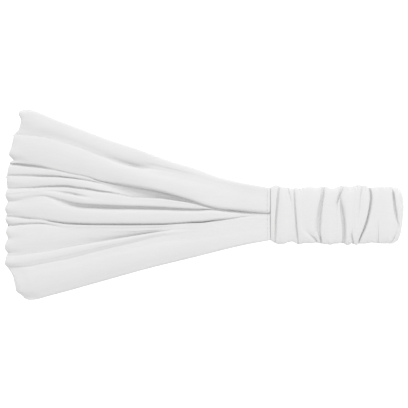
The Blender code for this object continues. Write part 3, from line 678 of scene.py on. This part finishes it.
# The tube's path: straight from its mouth, half round the back fold, and straight back.
TUBE_MOUTH, TUBE_BEND, TUBE_RADIUS = 41.0, 113.8, 4.0
STRAIGHT = TUBE_BEND - TUBE_MOUTH
FOLD = math.pi * TUBE_RADIUS
PATH = 2 * STRAIGHT + FOLD


def fold_shift(x, y):
    """How far the back fold's rounded corners lie from its middle, fading out inwards."""
    return (flow(BACK_FOLD, y) - 120.0) * ease(108, 118, x)


def path_at(x, y):
    """How far along the near layer's path the tube is seen at x."""
    on_fold = np.clip((x - fold_shift(x, y) - TUBE_BEND) / 6.2, 0, 0.97)
    return np.where(x < TUBE_BEND, x - TUBE_MOUTH, STRAIGHT + TUBE_RADIUS * np.arcsin(on_fold))


def casing_rails():
    """Every rail round the tube as (q, depth): how far along the path, and how deep, by y."""
    y = CASING_ROUND_Y
    rails = []

    def crease(line, depth, gap, lap, radius, room_left, room_right):
        """Eight rails: the pleat that dips under, the open gap, and the lip of the one on top."""
        sign = 1 if lap >= 0 else -1  # which side the lip is on: right or left
        low_room, lip_room = (room_left, room_right) if sign > 0 else (room_right, room_left)
        low = np.minimum(1, low_room / (3.0 * radius + gap))
        lip = np.minimum(1, lip_room / (2.2 * radius))
        amount = abs(lap) * np.clip(depth, 0, 1)
        offsets = (
            -(gap + 2.6 * radius) * low, -(gap + 0.9 * radius) * low, -(gap + 0.1 * radius) * low,
            -0.5 * gap * low, 0.05 * radius * lip + amount, 0.1 * radius * lip + 0.3 * amount,
            0.5 * radius * lip, 1.6 * radius * lip,
        )
        shares = (0.0, 0.16, 0.58, 0.93, 1.0, 0.6, 0.1, 0.0)
        order = list(range(8)) if sign > 0 else list(range(7, -1, -1))
        depth = np.minimum(depth, 2.6)
        return [
            (line + sign * offsets[index] + 0.03 * (place - 3.5), depth * shares[index])
            for place, index in enumerate(order)
        ]

    lines, specs = [], []
    for points, lap, radius in CASING_CREASES:
        table = [(*point, *[0] * (4 - len(point))) for point in points]
        lines.append(path_at(flow(table, y), y))
        specs.append((flow(table, y, 2), flow(table, y, 3), lap, radius))
    random = np.random.default_rng(7)
    q = STRAIGHT + 2.5
    while q < PATH - 3:  # gathers out of sight, on the far layer
        lean, bow = random.uniform(-0.08, 0.08), random.uniform(-0.5, 0.5)
        from_middle = y - CASING_DRAWN_Y
        lines.append(q + lean * from_middle + bow * np.cos(from_middle / 8))
        swell = 0.6 + 0.4 * np.sin(from_middle / random.uniform(4, 9) + random.uniform(0, 6))
        deep = random.uniform(0.5, 1.1) if q > STRAIGHT + FOLD else random.uniform(0.25, 0.5)
        deep = deep * np.clip(swell, 0.1, 1)
        specs.append((deep, 0.4 * deep, random.uniform(-0.5, 0.5), random.uniform(0.5, 0.9)))
        q += random.uniform(4.2, 8.5)
    start, end = np.zeros_like(y) + 0.25, np.zeros_like(y) + PATH - 0.25
    full = [start] + lines + [end]
    for place in range(1, len(full)):
        low, high = full[place - 1], full[place]
        width = np.maximum(high - low, 0.3)
        for share in (0.36, 0.5, 0.64):
            rails.append((mix(low, high, share), -np.minimum(0.32, 0.035 * width)))
        if place < len(full) - 1:
            depth, gap, lap, radius = specs[place - 1]
            room_right = np.maximum(full[place + 1] - full[place], 0.3) * 0.36
            rails += crease(full[place], depth, gap, lap, radius, width * 0.36, room_right)
    return [(start, np.zeros_like(y))] + rails + [(end, np.zeros_like(y))]


CASING_DRAWN_Y, CASING_DRAWN_HALF = -6.2, 16.6
ROUND = np.linspace(0, 2 * math.pi, 80, endpoint=False) + 0.01
ROUND_C = np.sign(np.cos(ROUND)) * np.abs(np.cos(ROUND)) ** 0.7  # across, -1 to 1
ROUND_S = np.sign(np.sin(ROUND)) * np.abs(np.sin(ROUND)) ** 0.6  # outwards, -1 to 1
CASING_ROUND_Y = CASING_DRAWN_Y + CASING_DRAWN_HALF * ROUND_C


def with_puckers(tube):
    """The tube's points with small pinches along both long edges, on both layers."""
    out = tube.copy()
    x, z = tube[..., 0], tube[..., 2]
    for far in (False, True):
        layer = (z < MIDDLE) if far else (z > MIDDLE)
        for place, side, length, depth in PUCKERS:
            place = place + (2.3 if far else 0.0)
            reach = CASING_DRAWN_HALF * (1 - side * ROUND_C[None, :])  # from that edge inwards
            weight = np.exp(-(((x - place) / 0.55) ** 2)) * ease(length, 0, reach) * depth * layer
            out[..., 1] -= side * weight * 0.6
            out[..., 2] -= np.sign(ROUND_S)[None, :] * weight * (-0.8 if far else 0.8)
    return out


def path_point(q):
    """(x, z, outward x, outward z) of the tube's centre line at q along its path."""
    angle = np.clip((q - STRAIGHT) / TUBE_RADIUS, 0, math.pi)
    x = TUBE_BEND + TUBE_RADIUS * np.sin(angle)
    x = np.where(q > STRAIGHT + FOLD, TUBE_BEND - (q - STRAIGHT - FOLD), x)
    x = np.where(q < STRAIGHT, TUBE_MOUTH + q, x)
    z = MIDDLE + TUBE_RADIUS * np.cos(angle)
    return x, z, np.sin(angle), np.cos(angle)


def casing_surface():
    """The tube's rows: its mouth in the near join, along, round the back fold and to the far one."""
    rows = []
    mouth = (
        # x, centre z, half thickness
        *((x, CASING_ALLOWANCE_Z, half) for x, half in
          ((33.3, 0.12), (33.35, 0.35), (33.8, 0.5), (36.5, 0.5), (39.2, 0.5))),
        (39.9, CASING_ALLOWANCE_Z + 0.3, 0.7), (40.0, 9.0, 1.8), (40.05, 9.7, 2.18), (40.3, 10.1, 2.17),
    )

    def section(x, z, out_x, out_z, half, swell):
        shift = fold_shift(x, mix(-23.3, 10.3, (ROUND_C + 1) / 2))
        top, bottom = flow(CASING_TOP, x), flow(CASING_BOTTOM, x)
        steep_c = np.sign(ROUND_C) * np.abs(ROUND_C) ** 4
        steep_s = np.sign(ROUND_S) * np.clip(np.abs(ROUND_S), 0.0, 1) ** 0.5
        y = mix(bottom, top, (ROUND_C + 1) / 2) + swell * steep_c * 0.8
        reach = ROUND_S * half + swell * steep_s * np.where(ROUND_S < 0, 0.1, 1.0)
        return x + reach * out_x + shift, y, z + reach * out_z

    zero = np.zeros_like(ROUND_C)
    for x, z, half in mouth:
        rows.append(section(x + zero, z + zero, zero, zero + 1, half, zero))
    for q, depth in casing_rails():
        x, z, out_x, out_z = path_point(q)
        rows.append(section(x, z, out_x, out_z, 2.2, -depth))
    for x, z, half in mouth[::-1]:
        rows.append(section(x + zero, 2 * MIDDLE - z + zero, zero, zero - 1, half, zero))
    return np.array(rows)


def to_frame(points):
    """Drawn millimetres to the frame's metres; the last axis is x, y, z."""
    out = np.array(points, float)
    before, after = out[..., 0] - DRAWN_JOIN, out[..., 0] - DRAWN_JOIN
    before = before * (JOIN - FRONT) / (DRAWN_JOIN - DRAWN_FRONT)
    after = after * (BACK - JOIN) / (DRAWN_BACK - DRAWN_JOIN)
    out[..., 0] = JOIN + np.where(after < 0, before, after)
    out[..., 1] *= ACROSS
    out[..., 2] = np.maximum(out[..., 2], 0.0)  # nothing lies below the table
    return out * MM


def grid_object(name, grid, material, closed=False, thickness=0.0):
    """A mesh from rows of points, with a UV map of its cloth in metres, called weave."""
    rows, columns = grid.shape[:2]
    across = np.linalg.norm(np.diff(grid, axis=1), axis=2)
    across = np.concatenate([np.zeros((rows, 1)), np.cumsum(across, axis=1)], axis=1)
    across -= across.mean(axis=1, keepdims=True)
    along = np.linalg.norm(np.diff(grid, axis=0), axis=2)
    along = np.concatenate([[0.0], np.cumsum(np.median(along, axis=1))])
    faces, places = [], []
    last = columns if closed else columns - 1
    girth = across[:, -1] - across[:, 0] + np.linalg.norm(grid[:, 0] - grid[:, -1], axis=1)
    for r in range(rows - 1):
        for c in range(last):
            d = (c + 1) % columns
            here, above = r * columns, (r + 1) * columns
            faces.append((here + c, here + d, above + d, above + c))
            wrap = [girth[r], girth[r + 1]] if d < c else [0.0, 0.0]
            places += [
                (along[r], across[r, c]),
                (along[r], across[r, d] + wrap[0]),
                (along[r + 1], across[r + 1, d] + wrap[1]),
                (along[r + 1], across[r + 1, c]),
            ]
    mesh = bpy.data.meshes.new(name)
    mesh.from_pydata(grid.reshape(-1, 3).tolist(), [], faces)
    weave = mesh.uv_layers.new(name="weave")
    weave.uv.foreach_set("vector", np.array(places, np.float32).ravel())
    mesh.materials.append(material)
    mesh.shade_smooth()
    obj = bpy.data.objects.new(name, mesh)
    bpy.context.scene.collection.objects.link(obj)
    if thickness:
        solid = obj.modifiers.new("Thickness", "SOLIDIFY")
        solid.thickness = thickness
        solid.offset = -1.0
        solid.use_even_offset = False
        apply_modifiers(obj)
    return obj


def apply_modifiers(obj):
    evaluated = obj.evaluated_get(bpy.context.evaluated_depsgraph_get())
    mesh = bpy.data.meshes.new_from_object(evaluated)
    obj.modifiers.clear()
    old = obj.data
    obj.data = mesh
    mesh.name = obj.name
    bpy.data.meshes.remove(old)


def facing_out(grid):
    """The grid, turned over if its faces look at the inside of the loop."""
    middle = grid[grid.shape[0] // 4, grid.shape[1] // 2]
    along = grid[grid.shape[0] // 4 + 1, grid.shape[1] // 2] - middle
    across = grid[grid.shape[0] // 4, grid.shape[1] // 2 + 1] - middle
    normal = np.cross(across, along)
    return grid if normal[2] > 0 else grid[:, ::-1]


# ---- materials


def connect(material, value, socket):
    """Link an output to the socket, or set a plain value on it."""
    if isinstance(value, bpy.types.NodeSocket):
        material.node_tree.links.new(value, socket)
    else:
        socket.default_value = value


def set_inputs(material, node, values):
    """Connect the node's inputs; an underscore stands for a socket name's space."""
    for name, value in values.items():
        connect(material, value, node.inputs[name.replace("_", " ")])


def new_material(name, **values):
    """A material whose shader has these values."""
    material = bpy.data.materials.new(name)
    material.use_nodes = True
    set_inputs(material, material.node_tree.nodes["Principled BSDF"], values)
    return material


def add_node(material, kind, **values):
    node = material.node_tree.nodes.new("ShaderNode" + kind)
    set_inputs(material, node, values)
    return node


def weave_of(material):
    """The cloth's own place, in metres along and across it."""
    node = add_node(material, "UVMap")
    node.uv_map = "weave"
    return node.outputs["UV"]


def bands(material, vector, pitch, direction="X"):
    """Soft bands that repeat every pitch metres."""
    node = add_node(material, "TexWave", Vector=vector, Scale=2 * math.pi / 20 / pitch)
    node.bands_direction = direction
    return node.outputs["Fac"]


def painted_groove_shade(material, value, darkest):
    # Painted shade: low parts of the value darken the colour down to darkest, as shade in a weave's
    # grooves would.
    ramp = add_node(material, "MapRange", Value=value, To_Min=darkest, To_Max=1.0)
    return ramp.outputs["Result"]


def finish_material(material, colour, tone_and_painted_shade, relief, strength, distance):
    """Base colour from the colour times its tone and painted shade, and bumps from the relief."""
    tint = add_node(material, "VectorMath")
    tint.operation = "SCALE"
    set_inputs(material, tint, {"Vector": colour, "Scale": tone_and_painted_shade})
    bumps = add_node(material, "Bump", Strength=strength, Distance=distance, Height=relief)
    looks = {"Base Color": tint.outputs[0], "Normal": bumps.outputs["Normal"]}
    set_inputs(material, material.node_tree.nodes["Principled BSDF"], looks)
    return material


def cloth_material(name, colour, wale, course, bump, streak):
    """Knitted jersey: columns of V-shaped stitches, fine streaks along them, a soft nap, and painted
    shade where the stitches dip.
    """
    material = new_material(
        name, Roughness=0.88, Sheen_Weight=0.25, Sheen_Roughness=0.45, Specular_IOR_Level=0.22
    )

    def calc(kind, *values):
        node = add_node(material, "Math")
        node.operation = kind
        for value, socket in zip(values, node.inputs):
            connect(material, value, socket)
        return node.outputs[0]

    def noise(vector, scale, detail):
        node = add_node(material, "TexNoise", Vector=vector, Scale=scale, Detail=detail)
        return node.outputs["Fac"]

    weave = weave_of(material)
    parts = add_node(material, "SeparateXYZ", Vector=weave)
    along, across = parts.outputs[0], parts.outputs[1]
    within = calc("FRACT", calc("DIVIDE", across, wale))
    leg = calc("ABSOLUTE", calc("SUBTRACT", within, 0.5))  # 0 to 0.5
    row = calc("ADD", calc("DIVIDE", along, course), calc("MULTIPLY", leg, 1.6))
    stitch = calc("SINE", calc("MULTIPLY", row, 2 * math.pi))
    rib = calc("SINE", calc("MULTIPLY", within, math.pi))
    height = calc("ADD", calc("MULTIPLY", rib, 0.7), calc("MULTIPLY", stitch, 0.3))

    drawn_out = add_node(material, "Mapping", Vector=weave, Scale=(60.0, 900.0, 1.0))
    place = add_node(material, "TexCoord").outputs["Object"]
    slub = noise(drawn_out.outputs[0], 1.0, 4.0)
    nap = noise(place, 2600.0, 3.0)
    patch = noise(place, 55.0, 2.0)

    # Painted shade: the base colour is a little darker where the stitches' relief is low; the yarn's
    # streaks and patches of tone are added to it.
    tone_and_painted_shade = calc("ADD", calc("MULTIPLY", height, 0.05), 0.955)
    for pattern, amount in ((slub, streak), (patch, 0.03)):
        tone_and_painted_shade = calc("ADD", tone_and_painted_shade, calc("MULTIPLY", calc("SUBTRACT", pattern, 0.5), amount))
    relief = calc("ADD", height, calc("MULTIPLY", nap, 0.8))
    relief = calc("ADD", relief, calc("MULTIPLY", slub, 0.6))
    return finish_material(material, colour, tone_and_painted_shade, relief, bump, 0.00012)


def ribbed_material(name, colour):
    """Woven elastic: rubber cords along the strip, crossed by fine picks, with painted shade in the
    grooves between them.
    """
    material = new_material(name, Roughness=0.7)
    weave = weave_of(material)
    cords, picks = bands(material, weave, 0.0016, "Y"), bands(material, weave, 0.0008, "X")
    both = add_node(material, "Mix", Factor=0.4, A=cords, B=picks).outputs["Result"]
    # The base colour is painted darker in the grooves between cords and picks: painted shade.
    return finish_material(material, colour, painted_groove_shade(material, both, 0.86), both, 0.8, 0.0003)


def thread_material(name, colour):
    """Two-ply polyester thread: a twist that runs round it, painted shade in the twist's grooves, and a
    slight gloss.
    """
    material = new_material(name, Roughness=0.5)
    slant = (0.0, 0.0, math.radians(35))
    turn = add_node(material, "Mapping", Vector=weave_of(material), Rotation=slant)
    twist = bands(material, turn.outputs[0], 0.0003)
    # The base colour is painted darker in the twist's grooves: painted shade.
    return finish_material(material, colour, painted_groove_shade(material, twist, 0.84), twist, 0.6, 0.0001)


# ---- camera and light


def make_stage():
    scene = bpy.context.scene
    camera_data = bpy.data.cameras.new("Camera")
    camera = bpy.data.objects.new("Camera", camera_data)
    scene.collection.objects.link(camera)
    scene.camera = camera
    camera_data.lens = 200.0
    camera_data.sensor_width = 36.0
    seen_width, level = 0.2459, 0.62  # in metres, and as a share of the band's height
    height = cad_high.z * level + seen_width * camera_data.lens / camera_data.sensor_width
    camera.location = (0.00006, 0.0004, height)  # it looks straight down

    floor_mesh = bpy.data.meshes.new("Floor")
    reach, drop = 4.0, -0.0002
    corners = [(x * reach, y * reach, drop) for x, y in ((-1, -1), (1, -1), (1, 1), (-1, 1))]
    floor_mesh.from_pydata(corners, [], [(0, 1, 2, 3)])
    white, grey = (1.0, 1.0, 1.0, 1.0), (0.5, 0.5, 0.5, 1.0)
    floor_mesh.materials.append(new_material(
        "Paper", Base_Color=grey, Roughness=1.0, Specular_IOR_Level=0.0,
        Emission_Color=white, Emission_Strength=0.85,
    ))
    floor = bpy.data.objects.new("Floor", floor_mesh)
    scene.collection.objects.link(floor)

    world = bpy.data.worlds.new("Studio")
    scene.world = world
    world.use_nodes = True
    background = world.node_tree.nodes["Background"]
    background.inputs["Color"].default_value = white
    background.inputs["Strength"].default_value = 0.675

    def softbox(name, place, size, power):
        lamp = bpy.data.lights.new(name, "AREA")
        lamp.shape = "DISK"
        lamp.size = size
        lamp.energy = power
        obj = bpy.data.objects.new(name, lamp)
        obj.location = place
        obj.rotation_euler = (-Vector(place)).to_track_quat("-Z", "Y").to_euler()
        scene.collection.objects.link(obj)

    softbox("SoftboxBack", (-0.3, 2.25, 1.9), 1.6, 36.0)
    softbox("SoftboxTop", (0.5, -0.1, 0.8), 0.6, 2.0)
    scene.view_settings.view_transform = "Standard"
    scene.view_settings.look = "None"


# ---- threads


def tube_object(name, points, radius, material, sides=7):
    """A round thread through points (drawn millimetres), with weave running along and round it."""
    points = np.array(points, float)
    tangent = np.gradient(points, axis=0)
    tangent /= np.linalg.norm(tangent, axis=1, keepdims=True)
    side = np.cross(tangent[0], (0.3, 0.5, 0.8))
    grid = []
    for here, along in zip(points, tangent):
        side = side - along * np.dot(side, along)
        side /= np.linalg.norm(side)
        up = np.cross(along, side)
        angles = np.linspace(0, 2 * math.pi, sides, endpoint=False)
        grid.append([here + radius * (math.cos(a) * side + math.sin(a) * up) for a in angles])
    grid = [[points[0]] * sides] + grid + [[points[-1]] * sides]
    return grid_object(name, to_frame(np.array(grid)), material, closed=True)


def stitch_line(start, end, count, height_at, dive):
    """A run of stitches between two points: each lies on the cloth and dives at its ends."""
    points = []
    for k in range(count * 12 + 1):
        t = k / (count * 12)
        phase = (t * count) % 1.0
        x, y = mix(start[0], end[0], t), mix(start[1], end[1], t)
        edge = min(phase, 1 - phase)
        sink = dive * (1 - float(ease(0.0, 0.2, edge)))
        points.append((x, y, height_at(x, y) + 0.12 - sink))
    return points


# ---- the pieces

jersey = cloth_material("jersey", (0.765, 0.764, 0.764), 0.0007, 0.0005, 0.35, 0.05)
lining_jersey = cloth_material("lining_jersey", (0.74, 0.741, 0.743), 0.0009, 0.0006, 0.45, 0.06)
elastic = ribbed_material("elastic_webbing", (0.82, 0.82, 0.81))
thread = thread_material("sewing_thread", (0.84, 0.842, 0.846))

face_rails, hem = panel_surface()
dense = np.einsum(
    "cr,srk->sck", spline_weights(face_rails.shape[2], 3), face_rails.transpose(0, 2, 1)
)
dense = with_front_outline(dense)
face = grid_object("face_cloth", facing_out(to_frame(dense)), jersey, thickness=CLOTH * MM)
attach(face, "front")
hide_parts("face_panel")

lining_rows = lining_surface(hem).transpose(0, 2, 1)
lining = grid_object(
    "lining_cloth", facing_out(to_frame(lining_rows))[:, ::-1], lining_jersey, thickness=LINING * MM
)
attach(lining, "front")
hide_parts("lining_panel")

tube_rows = casing_surface().transpose(2, 1, 0)          # around, xyz, rail
weights = spline_weights(tube_rows.shape[2], 3)
tube = with_puckers(np.einsum("cr,akr->cak", weights, tube_rows))
casing = grid_object("casing", to_frame(tube), jersey, closed=True, thickness=0.4 * MM)
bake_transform(casing)
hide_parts("elastic_casing")

# Round the webbing's section: across it in half widths, and outwards in millimetres.
WEBBING_ROUND = (
    *((-1, w) for w in (-0.3, 0.0, 0.3)), *((k / 12 - 1, 0.4) for k in range(1, 24)),
    *((1, w) for w in (0.3, 0.0, -0.3)), *((1 - k / 12, -0.4) for k in range(1, 24)),
)
strip = []
for q in np.linspace(0.3, PATH - 0.3, 190):
    x, z, out_x, out_z = path_point(np.array(q))
    wave = 0.08 * math.sin(q / 1.9) - 1.35
    row = []
    for t, w in WEBBING_ROUND:
        reach, y = w + wave, CASING_DRAWN_Y + 14.0 * t
        shift = fold_shift(x, y) - 0.6 * ease(112, 118, x)
        row.append((x + reach * out_x + shift, y, z + reach * out_z))
    strip.append(row)
caps = [[np.mean(row, axis=0)] * len(row) for row in (strip[0], strip[-1])]
strip = [caps[0], *strip, caps[1]]
webbing = grid_object("webbing", to_frame(np.array(strip)), elastic, closed=True)
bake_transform(webbing)
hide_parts("elastic_webbing")

surface = BVHTree.FromObject(face, bpy.context.evaluated_depsgraph_get())


def cloth_top(x, y):
    """Drawn height of the band's upper face at drawn (x, y)."""
    place = to_frame(np.array([x, y, 40.0]))
    hit = surface.ray_cast(Vector(place), Vector((0, 0, -1)))[0]
    return hit.z / MM if hit else 11.5


def cloth_under(x, y):
    """Drawn height of the band's underside at drawn (x, y), measured downwards."""
    place = to_frame(np.array([x, y, 0.0])) - (0.0, 0.0, 0.04)
    hit = surface.ray_cast(Vector(place), Vector((0, 0, 1)))[0]
    return -hit.z / MM if hit else 0.0


def front_thread(node, path, radius, sides=7):
    """A thread that rides the front body in place of its CAD node."""
    piece = tube_object(node + "_thread", path, radius, thread, sides)
    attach(piece, "front")
    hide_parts(node)


STITCHES = 11
for layer in ("upper", "lower"):
    top = layer == "upper"
    flip = 1 if top else -1
    line_x = DRAWN_JOIN - 2.2
    low, high = flow(LOWER_EDGE, line_x) + 0.8, flow(UPPER_EDGE, line_x) - 0.8
    path = stitch_line((line_x, low), (line_x, high), STITCHES, cloth_top if top else cloth_under, 0.5)
    path = [(x, y, z if top else -z) for x, y, z in path]
    pieces = [("topstitch_" + layer, path, 0.17)]

    ring = []
    turns = 22
    for k in range(turns * 20 + 1):
        angle = 2 * math.pi * k / 20
        y = mix(-20.6, 9.2, k / (turns * 20))
        centre_z = MIDDLE + flip * (8.05 - MIDDLE)
        ring.append((33.4 + 1.3 * math.cos(angle), y, centre_z + 1.42 * math.sin(angle)))
    pieces.append(("overlock_" + layer, ring, 0.13))

    inside = stitch_line((40.32, -20.8), (40.32, 9.4), 15, lambda x, y: 0.0, 0.35)
    seam_z = MIDDLE + flip * (10.9 - MIDDLE)
    pieces.append(("join_seam_" + layer, [(x, y, seam_z + flip * z) for x, y, z in inside], 0.16))

    for name, path, radius in pieces:
        front_thread(name, path, radius)

for edge in ("upper", "lower"):
    # the middle of the cloth roll at the edge, row by row round the front fold
    columns = dense[:, -18:] if edge == "upper" else dense[:, :18]
    middle = columns.mean(axis=1)
    middle = middle[12:-12]
    length = np.concatenate([[0], np.cumsum(np.linalg.norm(np.diff(middle, axis=0), axis=1))])
    steps = np.linspace(0, length[-1], 900)
    path = np.array([np.interp(steps, length, middle[:, k]) for k in range(3)]).T
    path[:, 1] += 0.1 * np.sin(steps * 2 * math.pi / 2.8)
    front_thread(edge + "_edge_seam", path, 0.15, sides=6)

path = []
for q in np.linspace(0.6, PATH - 0.6, 620):
    x, z, _, _ = path_point(np.array(q))
    wave = 0.1 * math.sin(q * 2 * math.pi / 2.8)
    path.append((x, CASING_DRAWN_Y - 15.3 + wave, z))
casing_thread = tube_object("casing_seam_thread", path, 0.15, thread, sides=6)
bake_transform(casing_thread)
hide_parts("casing_seam")

make_stage()
